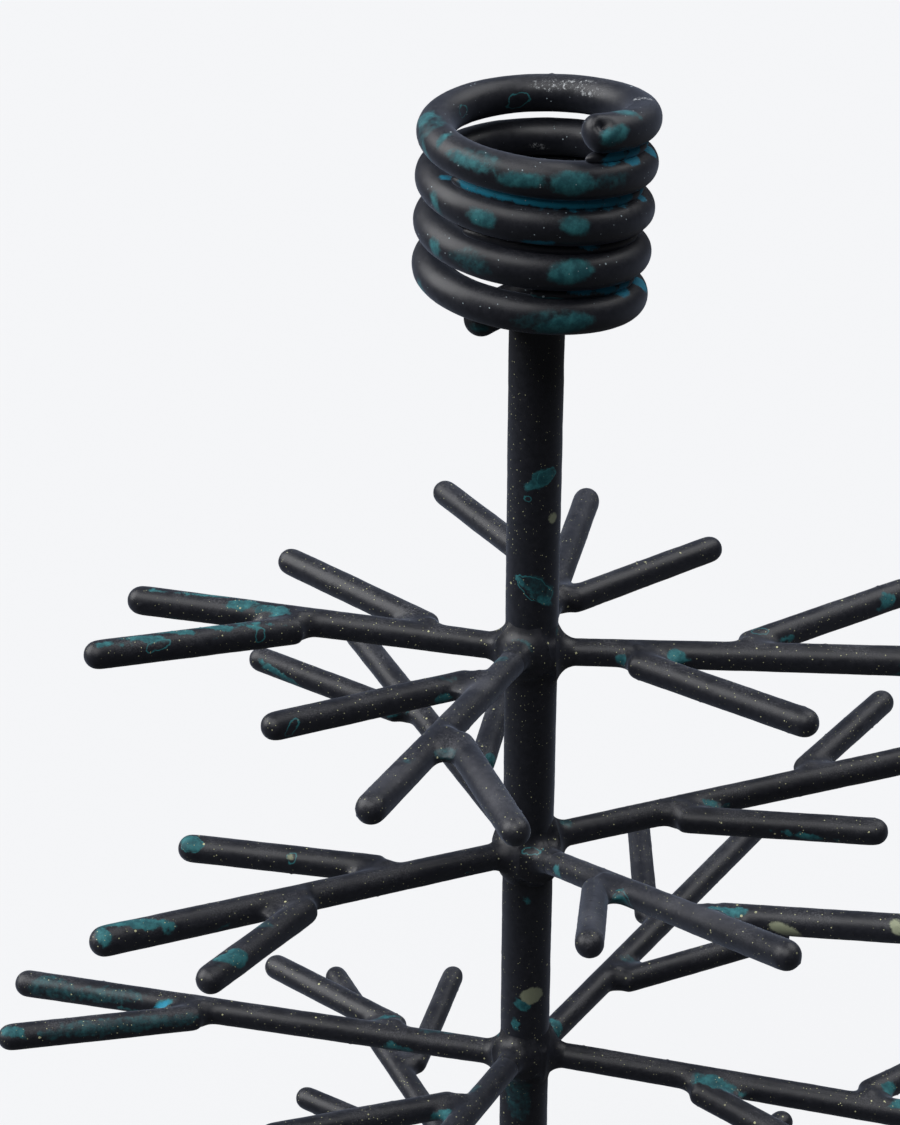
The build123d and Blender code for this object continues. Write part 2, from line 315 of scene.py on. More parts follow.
LOWER_MARKS = (
    Mark(HAZE, 52, 989, 50, 24, -5),
    Mark(HAZE, 110, 995, 70, 18, -5),
    Mark(FILM, 162, 1005, 19, 10, 20),
    Mark(GROOVE, 162, 1005, 15, 7, 20),
    Mark(FILM, 126, 1009, 26, 5, -3),
    Mark(FILM, 13, 1030, 20, 12, 5),
    Mark(HAZE, 115, 1026, 150, 18, 6),
    Mark(FILM, 557, 1026, 9, 22, 40),
    Mark(FILM, 440, 1117, 24, 14, 25),
    Mark(HAZE, 439, 1031, 30, 5, -8),
    Mark(FILM, 385, 1017, 26, 8),
    Mark(FILM, 397, 1048, 26, 9, -5),
    Mark(FILM, 720, 1085, 46, 19, -28),
    Mark(HAZE, 698, 1077, 14, 10),
    Mark(FILM, 889, 1089, 18, 14),
)


@dataclass(frozen=True)
class PatinaCoat:
    """Satin black coat over steel, with dust and painted sheen on its upper faces, blue-green film and pale specks.
    """

    name: str
    coat: tuple[float, float, float] = (0.0058, 0.0065, 0.0098)
    worn: tuple[float, float, float] = (0.0145, 0.0153, 0.0210)
    # Light grey of real dust, also used as painted sheen: it lightens the faces that look up towards the lamps.
    dust_and_sheen: tuple[float, float, float] = (0.160, 0.162, 0.182)
    deep_film: tuple[float, float, float] = (0.003, 0.062, 0.076)
    pale_film: tuple[float, float, float] = (0.024, 0.155, 0.172)
    groove: tuple[float, float, float] = (0.003, 0.190, 0.300)
    spot: tuple[float, float, float] = (0.225, 0.245, 0.165)
    speck: tuple[float, float, float] = (0.46, 0.46, 0.27)
    scuff: tuple[float, float, float] = (0.40, 0.42, 0.44)
    sheen_tint: tuple[float, float, float] = (0.62, 0.73, 1.0)
    sheen: float = 0.23
    sheen_roughness: float = 0.40
    satin: float = 0.42
    chalk: float = 0.70
    specular: float = 0.36
    lobed: float = 2.4
    soft: float = 0.22
    dust_and_sheen_share: float = 0.40
    speck_share: float = 0.80

    def material(self) -> bpy.types.Material:
        """Makes the node material of this finish.

        Returns:
            The material.
        """
        material = bpy.data.materials.new(self.name)
        bench = NodeBench(material)
        place = bench.millimetres()
        broad = bench.noise(place, 0.17, 3.0, 0.5)
        lobes = bench.noise(place, 0.42, 2.0, 0.5)
        middle = bench.noise(place, 0.95, 5.0, 0.65)
        grain = bench.noise(place, 4.2, 3.0, 0.65)
        colour = bench.blend(bench.between(middle, 0.22, 0.84), self.coat, self.worn)
        # Upward faces are lightened with the dust grey: partly real dust, partly painted sheen where the lamps fall
        # on the tops.
        upward = bench.between(bench.upward(), 0.05, 0.95)
        settled = bench.sum(upward, bench.between(broad, 0.35, 0.7), "MULTIPLY")
        dust_and_sheen_mask = bench.sum(settled, bench.between(grain, 0.40, 0.74), "MULTIPLY")
        colour = bench.blend(bench.sum(dust_and_sheen_mask, self.dust_and_sheen_share, "MULTIPLY"), colour, self.dust_and_sheen)
        fine = bench.sum(bench.ragged(middle, 1.1), bench.ragged(grain, 0.5))
        ragged = bench.sum(bench.ragged(lobes, self.lobed), fine)
        # Painted sheen on the tops of the marked front arms, in the dust colour.
        powder_and_sheen = bench.sum(bench.between(bench.field(DUST_AND_SHEEN.value, fine), -0.9, 1.5), upward, "MULTIPLY")
        colour = bench.blend(bench.sum(powder_and_sheen, 0.19, "MULTIPLY"), colour, self.dust_and_sheen)
        film_colour = bench.blend(bench.between(bench.noise(place, 0.6, 5.0, 0.7), 0.36, 0.68),
                                  self.deep_film, self.pale_film)
        film, haze = (bench.patch(kind.value, ragged, self.soft) for kind in (FILM, HAZE))
        groove, spot, scuff = (bench.patch(kind.value, fine, 0.22) for kind in (GROOVE, SPOT, SCUFF))
        hazy = bench.sum(haze, bench.between(middle, 0.25, 0.8), "MULTIPLY")
        colour = bench.blend(bench.sum(hazy, 0.62, "MULTIPLY"), colour, film_colour)
        body = bench.sum(film, bench.between(grain, 0.06, 0.40), "MULTIPLY")
        colour = bench.blend(bench.sum(body, 0.94, "MULTIPLY"), colour, film_colour)
        rim = bench.edge(RIM.value, bench.sum(bench.ragged(lobes, 1.9), bench.ragged(middle, 0.7)), 0.12)
        broken = bench.sum(rim, bench.between(middle, 0.30, 0.52), "MULTIPLY")
        colour = bench.blend(bench.sum(broken, 0.8, "MULTIPLY"), colour, self.pale_film)
        colour = bench.blend(groove, colour, self.groove)
        colour = bench.blend(spot, colour, self.spot)
        streaks = bench.between(bench.noise(place, 1.5, 5.0, 0.8), 0.53, 0.60)
        scuffed = bench.sum(scuff, streaks, "MULTIPLY")
        colour = bench.blend(bench.sum(scuffed, 0.8, "MULTIPLY"), colour, self.scuff)
        flecks = bench.sum(bench.specks(place, 0.60, 0.03, 0.065, self.speck_share),
                           bench.specks(place, 2.1, 0.07, 0.13, self.speck_share), "MAXIMUM")
        scattered = bench.sum(flecks, bench.between(broad, 0.31, 0.47), "MULTIPLY")
        colour = bench.blend(scattered, colour, self.speck)
        chalky = bench.sum(bench.sum(film, groove, "MAXIMUM"), bench.sum(spot, dust_and_sheen_mask, "MAXIMUM"), "MAXIMUM")
        roughness = bench.lerp(chalky, bench.lerp(middle, self.satin - 0.09, self.satin + 0.09), self.chalk)
        relief = bench.sum(bench.sum(grain, 0.35, "MULTIPLY"), bench.sum(body, scattered))
        shader = bench.surface(colour, roughness, bench.bump(relief, 0.34, 0.05 * MM))
        shader["Specular IOR Level"].default_value = self.specular
        shader["Sheen Weight"].default_value = self.sheen
        shader["Sheen Roughness"].default_value = self.sheen_roughness
        shader["Sheen Tint"].default_value = (*self.sheen_tint, 1.0)
        return material


class NodeBench:
    """Lays out the nodes of one material, in the order they are asked for."""

    def __init__(self, material: bpy.types.Material) -> None:
        """Starts with an empty tree.

        Args:
            material: the material whose nodes are made.
        """
        material.use_nodes = True
        self.tree = material.node_tree
        self.tree.nodes.clear()
        self.count = 0

    def node(self, kind: str, **settings: object) -> bpy.types.Node:
        """Adds a node.

        Args:
            kind: the node's type name.
            settings: properties set on it.

        Returns:
            The node.
        """
        made = self.tree.nodes.new(kind)
        made.location = (220 * (self.count // 6), -240 * (self.count % 6))
        self.count += 1
        for name, value in settings.items():
            setattr(made, name, value)
        return made

    def feed(self, socket: bpy.types.NodeSocket, value: object) -> None:
        """Links a socket to another, or sets its value.

        Args:
            socket: the input.
            value: an output socket, a number or a colour of three numbers.
        """
        if isinstance(value, bpy.types.NodeSocket):
            self.tree.links.new(value, socket)
        elif isinstance(value, tuple):
            socket.default_value = (*value, 1.0)
        else:
            socket.default_value = value

    def millimetres(self) -> bpy.types.NodeSocket:
        """Object coordinates in millimetres."""
        place = self.node("ShaderNodeTexCoord")
        scaled = self.node("ShaderNodeVectorMath", operation="SCALE")
        self.feed(scaled.inputs[0], place.outputs["Object"])
        scaled.inputs["Scale"].default_value = 1 / MM
        return scaled.outputs["Vector"]

    def noise(self, place: bpy.types.NodeSocket, scale: float, detail: float,
              rough: float) -> bpy.types.NodeSocket:
        """Fractal noise from 0 to 1.

        Args:
            place: coordinates in millimetres.
            scale: waves per millimetre.
            detail: octaves.
            rough: how strong the finer octaves are.

        Returns:
            The value.
        """
        cloud = self.node("ShaderNodeTexNoise")
        self.feed(cloud.inputs["Vector"], place)
        for name, value in (("Scale", scale), ("Detail", detail), ("Roughness", rough)):
            cloud.inputs[name].default_value = value
        return cloud.outputs["Fac"]

    def sum(self, first: object, second: object, operation: str = "ADD") -> bpy.types.NodeSocket:
        """One sum of two values.

        Args:
            first: a value or a number.
            second: a value or a number.
            operation: the math node's operation.

        Returns:
            The result.
        """
        sums = self.node("ShaderNodeMath", operation=operation)
        self.feed(sums.inputs[0], first)
        self.feed(sums.inputs[1], second)
        return sums.outputs[0]

    def between(self, value: bpy.types.NodeSocket, low: float, high: float) -> bpy.types.NodeSocket:
        """Smooth step from 0 at one value to 1 at another.

        Args:
            value: the value.
            low: where the step starts.
            high: where it ends.

        Returns:
            The step.
        """
        step = self.node("ShaderNodeMapRange", interpolation_type="SMOOTHSTEP")
        self.feed(step.inputs["Value"], value)
        step.inputs["From Min"].default_value = low
        step.inputs["From Max"].default_value = high
        return step.outputs["Result"]

    def lerp(self, share: object, low: object, high: object) -> bpy.types.NodeSocket:
        """Straight mix of two numbers.

        Args:
            share: share of the second one.
            low: the first one.
            high: the second one.

        Returns:
            The mixed number.
        """
        mix = self.node("ShaderNodeMix", data_type="FLOAT")
        for index, value in enumerate((share, low, high)):
            self.feed(mix.inputs[(0, 2, 3)[index]], value)
        return mix.outputs[0]

    def blend(self, share: object, under: object, over: object) -> bpy.types.NodeSocket:
        """Mix of two colours.

        Args:
            share: share of the second one.
            under: the first colour.
            over: the second colour.

        Returns:
            The mixed colour.
        """
        mix = self.node("ShaderNodeMix", data_type="RGBA")
        for index, value in enumerate((share, under, over)):
            self.feed(mix.inputs[(0, 6, 7)[index]], value)
        return mix.outputs[2]

    def upward(self) -> bpy.types.NodeSocket:
        """How far the surface faces up."""
        split = self.node("ShaderNodeSeparateXYZ")
        self.feed(split.inputs[0], self.node("ShaderNodeNewGeometry").outputs["Normal"])
        return split.outputs["Z"]

    def ragged(self, cloud: bpy.types.NodeSocket, reach: float) -> bpy.types.NodeSocket:
        """Turns a noise into an offset of an edge, in millimetres either way.

        Args:
            cloud: the noise.
            reach: the offset's whole range.

        Returns:
            The offset.
        """
        return self.sum(self.sum(cloud, 0.5, "SUBTRACT"), reach, "MULTIPLY")

    def field(self, name: str, ragged: bpy.types.NodeSocket) -> bpy.types.NodeSocket:
        """Depth inside a kind of mark, in millimetres, with a ragged edge.

        Args:
            name: the vertex attribute.
            ragged: the edge's offset.

        Returns:
            The depth.
        """
        depth = self.node("ShaderNodeAttribute", attribute_name=name)
        return self.sum(depth.outputs["Fac"], ragged)

    def patch(self, name: str, ragged: bpy.types.NodeSocket, soft: float) -> bpy.types.NodeSocket:
        """Mask of a kind of mark, soft at its edge.

        Args:
            name: the vertex attribute.
            ragged: the edge's offset.
            soft: half the width of the soft edge in millimetres.

        Returns:
            The mask.
        """
        return self.between(self.field(name, ragged), -soft, soft)

    def edge(self, name: str, ragged: bpy.types.NodeSocket, width: float) -> bpy.types.NodeSocket:
        """Mask of a line along the edge of a kind of mark.

        Args:
            name: the vertex attribute.
            ragged: the edge's offset.
            width: half the line's width in millimetres.

        Returns:
            The mask.
        """
        off_edge = self.sum(self.field(name, ragged), 0.0, "ABSOLUTE")
        return self.sum(1.0, self.between(off_edge, width * 0.5, width), "SUBTRACT")

    def specks(self, place: bpy.types.NodeSocket, cell: float, least: float, spread: float,
               share: float) -> bpy.types.NodeSocket:
        """Round specks strewn over the surface.

        Args:
            place: coordinates in millimetres.
            cell: spacing in millimetres.
            least: smallest radius.
            spread: how much larger the largest is.
            share: share of the places that hold one.

        Returns:
            The mask.
        """
        seeds = self.node("ShaderNodeTexVoronoi", feature="F1")
        self.feed(seeds.inputs["Vector"], place)
        seeds.inputs["Scale"].default_value = 1 / cell
        split = self.node("ShaderNodeSeparateColor")
        self.feed(split.inputs[0], seeds.outputs["Color"])
        radius = self.sum(self.sum(split.outputs[1], spread, "MULTIPLY"), least)
        away = self.sum(seeds.outputs["Distance"], cell, "MULTIPLY")
        inside = self.between(self.sum(radius, away, "SUBTRACT"), -0.015, 0.02)
        held = self.sum(split.outputs[0], share, "LESS_THAN")
        return self.sum(inside, held, "MULTIPLY")

    def bump(self, height: bpy.types.NodeSocket, strength: float, distance: float) -> bpy.types.NodeSocket:
        """Fine relief.

        Args:
            height: the height, from 0 to about 1.
            strength: how much of it shows.
            distance: its full height in metres.

        Returns:
            The normal.
        """
        relief = self.node("ShaderNodeBump")
        relief.inputs["Strength"].default_value = strength
        relief.inputs["Distance"].default_value = distance
        self.feed(relief.inputs["Height"], height)
        return relief.outputs["Normal"]

    def surface(self, colour: object, roughness: object,
                normal: bpy.types.NodeSocket) -> bpy.types.NodeInputs:
        """Ends the tree in the surface shader.

        Args:
            colour: base colour.
            roughness: roughness.
            normal: the bumped normal.

        Returns:
            The shader's sockets, for the values that are the same all over.
        """
        shader = self.node("ShaderNodeBsdfPrincipled")
        self.feed(shader.inputs["Base Color"], colour)
        self.feed(shader.inputs["Roughness"], roughness)
        self.feed(shader.inputs["Normal"], normal)
        output = self.node("ShaderNodeOutputMaterial")
        self.feed(output.inputs["Surface"], shader.outputs[0])
        return shader.inputs


def merged_copy(node: str) -> bmesh.types.BMesh:
    """Copies a CAD node's mesh with its loose triangles joined.

    Args:
        node: the node's name.

    Returns:
        The mesh.
    """
    bm = bmesh.new()
    bm.from_mesh(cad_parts[node].data)
    bmesh.ops.remove_doubles(bm, verts=bm.verts, dist=0.002 * MM)
    return bm


def pour(bm: bmesh.types.BMesh, other: bmesh.types.BMesh) -> None:
    """Adds one mesh to another and frees it.

    Args:
        bm: the mesh that grows.
        other: the mesh that is added.
    """
    carrier = bpy.data.meshes.new("carrier")
    other.to_mesh(carrier)
    other.free()
    bm.from_mesh(carrier)
    bpy.data.meshes.remove(carrier)


def mesh_object(name: str, bm: bmesh.types.BMesh) -> bpy.types.Object:
    """Turns a mesh into an object of the scene and frees it.

    Args:
        name: the piece's name.
        bm: the mesh.

    Returns:
        The object, at the origin.
    """
    mesh = bpy.data.meshes.new(name)
    bm.to_mesh(mesh)
    bm.free()
    mesh.shade_smooth()
    piece = bpy.data.objects.new(name, mesh)
    bpy.context.scene.collection.objects.link(piece)
    return piece


def displaced(piece: bpy.types.Object, reach: float, waves: float = 0.0) -> None:
    """Moves a piece's surface along its normals, evenly or in soft waves.

    Args:
        piece: the object.
        reach: how far, or for waves their whole height.
        waves: size of the waves, or 0 for an even move.
    """
    move = piece.modifiers.new("waves" if waves else "offset", "DISPLACE")
    move.strength = reach
    move.mid_level = 0.5 if waves else 0.0
    if waves:
        cloud = bpy.data.textures.new("rod_waves", "CLOUDS")
        cloud.noise_scale = waves
        cloud.noise_depth = 2
        move.texture = cloud
        move.texture_coords = "LOCAL"


def smoothed(piece: bpy.types.Object, passes: int) -> None:
    """Evens out a piece's surface.

    Args:
        piece: the object.
        passes: rounds of smoothing.
    """
    smooth = piece.modifiers.new("coat", "SMOOTH")
    smooth.factor = 0.5
    smooth.iterations = passes


def skinned(name: str, bm: bmesh.types.BMesh, voxel: float, flare: float, passes: int) -> bpy.types.Object:
    """Draws one skin over touching solids, with flares in their corners, as welds and a thick coat give.

    Args:
        name: the piece's name.
        bm: the solids.
        voxel: the skin's mesh size.
        flare: radius of the flares.
        passes: rounds of smoothing.

    Returns:
        The object, its modifiers live.
    """
    piece = mesh_object(name, bm)
    for reach in (flare, -flare):
        skin = piece.modifiers.new("skin", "REMESH")
        skin.mode = "VOXEL"
        skin.voxel_size = voxel
        smoothed(piece, 3)
        displaced(piece, reach)
    smoothed(piece, passes)
    return piece


def settled(piece: bpy.types.Object) -> bpy.types.Object:
    """Makes a piece's modifiers part of its mesh.

    Args:
        piece: the object.

    Returns:
        The same object.
    """
    bpy.context.view_layer.update()
    evaluated = piece.evaluated_get(bpy.context.evaluated_depsgraph_get())
    mesh = bpy.data.meshes.new_from_object(evaluated)
    mesh.name = piece.name
    mesh.shade_smooth()
    piece.modifiers.clear()
    piece.data = mesh
    return piece


def points_of(piece: bpy.types.Object) -> tuple[np.ndarray, np.ndarray]:
    """Vertices of a piece and their normals.

    Args:
        piece: the object.

    Returns:
        Rows of points and rows of normals.
    """
    count = len(piece.data.vertices)
    points = np.zeros(count * 3)
    normals = np.zeros(count * 3)
    piece.data.vertices.foreach_get("co", points)
    piece.data.vertices.foreach_get("normal", normals)
    return points.reshape(-1, 3), normals.reshape(-1, 3)


def hand_finish(piece: bpy.types.Object, swell: float = 0.0, nubs: int = 0, seed: int = 0) -> None:
    """Gives a piece the slight unevenness of hand-welded, dipped rod, and small grains in its coat.

    Args:
        piece: the object.
        swell: how far the whole surface moves out.
        nubs: number of grains.
        seed: seed of their places.
    """
    if swell:
        displaced(piece, swell)
    displaced(piece, 0.10 * MM, 5.0 * MM)
    displaced(piece, 0.035 * MM, 1.0 * MM)
    settled(piece)
    points, normals = points_of(piece)
    lift = np.zeros(len(points))
    chance = random.Random(seed)
    for _ in range(nubs):
        centre = points[chance.randrange(len(points))]
        radius = chance.uniform(0.20, 0.36) * MM
        height = chance.uniform(0.04, 0.12) * MM
        gap = np.linalg.norm(points - centre, axis=1) / radius
        lift += height * np.exp(-gap * gap * 1.6)
    piece.data.vertices.foreach_set("co", (points + normals * lift[:, None]).ravel())
    piece.data.update()


def domed(bm: bmesh.types.BMesh, ring: list, outward: Vector, radius: float, flat: float, steps: int) -> None:
    """Closes the open end of a rod with a dome.

    Args:
        bm: the rod's mesh.
        ring: edges of the open end.
        outward: direction out of the end.
        radius: the rod's radius.
        flat: height of the dome as a share of the radius.
        steps: rings of the dome.
    """
    edges = ring
    height = 0.0
    width = 1.0
    for step in range(1, steps):
        turn = math.pi / 2 * step / steps
        made = bmesh.ops.extrude_edge_only(bm, edges=edges)["geom"]
        verts = [item for item in made if isinstance(item, bmesh.types.BMVert)]
        edges = [item for item in made if isinstance(item, bmesh.types.BMEdge)
                 and all(vert in verts for vert in item.verts)]
        rise = radius * flat * math.sin(turn)
        shrink = math.cos(turn)
        bmesh.ops.translate(bm, verts=verts, vec=outward * (rise - height))
        middle = sum((vert.co for vert in verts), Vector()) / len(verts)
        bmesh.ops.scale(bm, verts=verts, vec=Vector((1, 1, 1)) * (shrink / width),
                        space=Matrix.Translation(-middle))
        height, width = rise, shrink
    cap = bmesh.ops.contextual_create(bm, geom=edges)["faces"]
    pole = bmesh.ops.poke(bm, faces=cap)["verts"]
    bmesh.ops.translate(bm, verts=pole, vec=outward * (radius * flat - height))


@dataclass
class Piece:
    """A shown piece of the holder: the CAD nodes it stands for and the finish it takes."""

    name: str
    nodes: tuple[str, ...]
    slot: str

    def shape(self) -> bpy.types.Object:
        """Builds the piece's mesh."""
        raise NotImplementedError

    def make(self, coats: dict[str, bpy.types.Material]) -> bpy.types.Object:
        """Builds, dresses and places the piece.

        Args:
            coats: the material of each slot.

        Returns:
            The object.
        """
        piece = self.shape()
        piece.data.materials.clear()
        piece.data.materials.append(coats[self.slot])
        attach(piece, BODY)
        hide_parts(*self.nodes)
        log.info("%s: %d faces", piece.name, len(piece.data.polygons))
        return piece


def stem_headings(tier: int) -> dict[str, Vector]:
    """Level direction of each stem of a tier, from the trunk outwards.

    Args:
        tier: the tier's number.

    Returns:
        Unit directions by side.
    """
    ways = {}
    for side in Arm.SIDES:
        low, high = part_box(f"tier_{tier}_{side}_stem")
        middle = (low + high) / 2
        ways[side] = Vector((middle.x, middle.y, 0.0)).normalized()
    return ways


@dataclass
class Arm(Piece):
    """One stem with its two twigs under one coat, their welds flared into it."""

    SIDES = ("left", "front", "right", "rear")

    tier: int = 1
    side: str = "left"
    flare: float = 1.0 * MM
    passes: int = 26
    swell: float = 0.16 * MM
    front_swell: float = 0.04 * MM

    @classmethod
    def of(cls, tier: int, side: str) -> "Arm":
        """The arm of a tier on one side."""
        stem = f"tier_{tier}_{side}"
        nodes = (stem + "_stem", stem + "_twigs", f"tier_{tier}_twig_welds")
        return cls(stem + "_arm", nodes, "rod_coat", tier=tier, side=side)

    @property
    def voxel(self) -> float:
        """Mesh size of the skin, finer where the photograph looks."""
        return (0.33 if self.tier <= 3 else 0.42) * MM

    def shape(self) -> bpy.types.Object:
        """Builds the arm from its rods and its own two welds.

        Returns:
            The object.
        """
        ways = stem_headings(self.tier)
        solids = merged_copy(self.nodes[0])
        pour(solids, merged_copy(self.nodes[1]))
        welds = merged_copy(self.nodes[2])
        others = [vert for vert in welds.verts
                  if max(ways, key=lambda side: ways[side].dot(vert.co)) != self.side]
        bmesh.ops.delete(welds, geom=others, context="VERTS")
        pour(solids, welds)
        piece = skinned(self.name, solids, self.voxel, self.flare, self.passes)
        swell = self.front_swell if self.side == "front" else self.swell
        hand_finish(piece, swell, nubs=40, seed=self.tier * 10 + Arm.SIDES.index(self.side))
        return piece


@dataclass
class RootCollar(Piece):
    """The weld that flares from the trunk into the four stems of a tier."""

    tier: int = 1
    stub: float = 10.5 * MM
    core: float = 3.95 * MM
    core_spare: float = 2.0 * MM
    voxel: float = 0.27 * MM
    flare: float = 1.2 * MM
    passes: int = 16
    swell: float = 0.09 * MM
    run_out: float = 2.6 * MM
    sunk: float = 0.42 * MM

    @classmethod
    def of(cls, tier: int) -> "RootCollar":
        """The collar of a tier."""
        name = f"tier_{tier}_root_weld"
        return cls(name + "_collar", (name,), "weld_coat", tier=tier)

    def shape(self) -> bpy.types.Object:
        """Builds the collar over stubs of the rods, which it dives under at its edges.

        Returns:
            The object.
        """
        solids = merged_copy(self.nodes[0])
        for side, way in stem_headings(self.tier).items():
            stem = merged_copy(f"tier_{self.tier}_{side}_stem")
            geometry = stem.verts[:] + stem.edges[:] + stem.faces[:]
            cut = bmesh.ops.bisect_plane(stem, geom=geometry, plane_co=way * self.stub, plane_no=way,
                                         clear_outer=True)["geom_cut"]
            bmesh.ops.edgeloop_fill(stem, edges=[item for item in cut if isinstance(item, bmesh.types.BMEdge)])
            pour(solids, stem)
        low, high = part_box(self.nodes[0])
        depth = high.z - low.z + self.core_spare * 2
        bmesh.ops.create_cone(solids, cap_ends=True, segments=64, radius1=self.core, radius2=self.core,
                              depth=depth, matrix=Matrix.Translation((0, 0, (low.z + high.z) / 2)))
        piece = skinned(self.name, solids, self.voxel, self.flare, self.passes)
        hand_finish(piece, self.swell)
        self.sink_ends(piece, low.z, high.z)
        return piece

    def sink_ends(self, piece: bpy.types.Object, low: float, high: float) -> None:
        """Lets the collar's ends run out under the surfaces of the rods.

        Args:
            piece: the collar.
            low: height of the weld's lower edge on the trunk.
            high: height of its upper edge.
        """
        points, normals = points_of(piece)
        outer = np.hypot(points[:, 0], points[:, 1]) - (self.stub - self.run_out)
        beyond = np.maximum(points[:, 2] - high, low - points[:, 2]) + self.run_out - self.core_spare
        share = np.clip(np.maximum(outer, beyond) / self.run_out, 0.0, 1.0)
        depth = self.sunk * share * share * (3 - 2 * share)
        piece.data.vertices.foreach_set("co", (points - normals * depth[:, None]).ravel())
        piece.data.update()


@dataclass
class Trunk(Piece):
    """The upright rod."""

    segments: int = 64
    step: float = 0.5 * MM
    swell: float = 0.05 * MM

    def shape(self) -> bpy.types.Object:
        """Builds the rod from a circle drawn upwards.

        Returns:
            The object.
        """
        low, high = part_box(self.nodes[0])
        bm = bmesh.new()
        circle = bmesh.ops.create_circle(bm, segments=self.segments, radius=high.x,
                                         matrix=Matrix.Translation((0, 0, low.z)))
        edges = list({edge for vert in circle["verts"] for edge in vert.link_edges})
        made = bmesh.ops.extrude_edge_only(bm, edges=edges)["geom"]
        top = [item for item in made if isinstance(item, bmesh.types.BMVert)]
        bmesh.ops.translate(bm, verts=top, vec=(0, 0, high.z - low.z))
        upright = [edge for edge in bm.edges if edge.verts[0].co.z != edge.verts[1].co.z]
        bmesh.ops.subdivide_edges(bm, edges=upright, cuts=round((high.z - low.z) / self.step))
        bmesh.ops.holes_fill(bm, edges=[edge for edge in bm.edges if edge.is_boundary], sides=0)
        bmesh.ops.recalc_face_normals(bm, faces=bm.faces)
        piece = mesh_object(self.name, bm)
        hand_finish(piece, self.swell, nubs=30, seed=3)
        return piece


@dataclass(frozen=True)
class GroovePool:
    """Coat that ran into the groove above a turn of the coil: its stretch, in degrees of winding."""

    start: float
    end: float
    radius: float = 0.85 * MM


